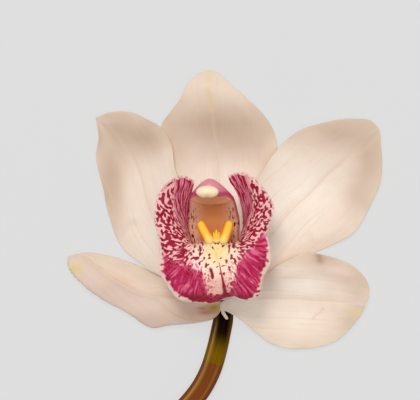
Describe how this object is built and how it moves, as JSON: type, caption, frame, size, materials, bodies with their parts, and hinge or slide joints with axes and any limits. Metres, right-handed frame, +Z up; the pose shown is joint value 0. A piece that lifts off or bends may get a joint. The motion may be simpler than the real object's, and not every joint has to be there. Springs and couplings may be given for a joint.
{
  "type": "single cut cymbidium orchid bloom on its stalk",
  "caption": "Open cymbidium orchid bloom lying face up on its short curved stalk, with cream tepals and a spotted crimson lip.",
  "frame": {"origin": "middle of the bounding box, on the surface that the bloom lies on", "axes": "+Y from the stalk to the upright sepal, the longest way; +Z up, the way the bloom faces"},
  "size_m": [0.0954, 0.1128, 0.0386],
  "materials": {
    "stalk": "smooth waxy plant skin, olive green to reddish brown",
    "sepal": "waxy cream petal tissue, faint blush, satin",
    "petal": "waxy cream petal tissue, faint blush, satin",
    "lip": "crimson spots and streaks on pale pink, velvety satin",
    "column": "pink and tan waxy tissue, satin",
    "anther_cap": "cream waxy tissue, satin"
  },
  "bodies": {
    "root": {"flower_stalk": "stalk", "dorsal_sepal": "sepal", "left_lateral_sepal": "sepal", "right_lateral_sepal": "sepal", "left_petal": "petal", "right_petal": "petal", "lip": "lip", "column": "column", "anther_cap": "anther_cap"}
  },
  "joints": []
}
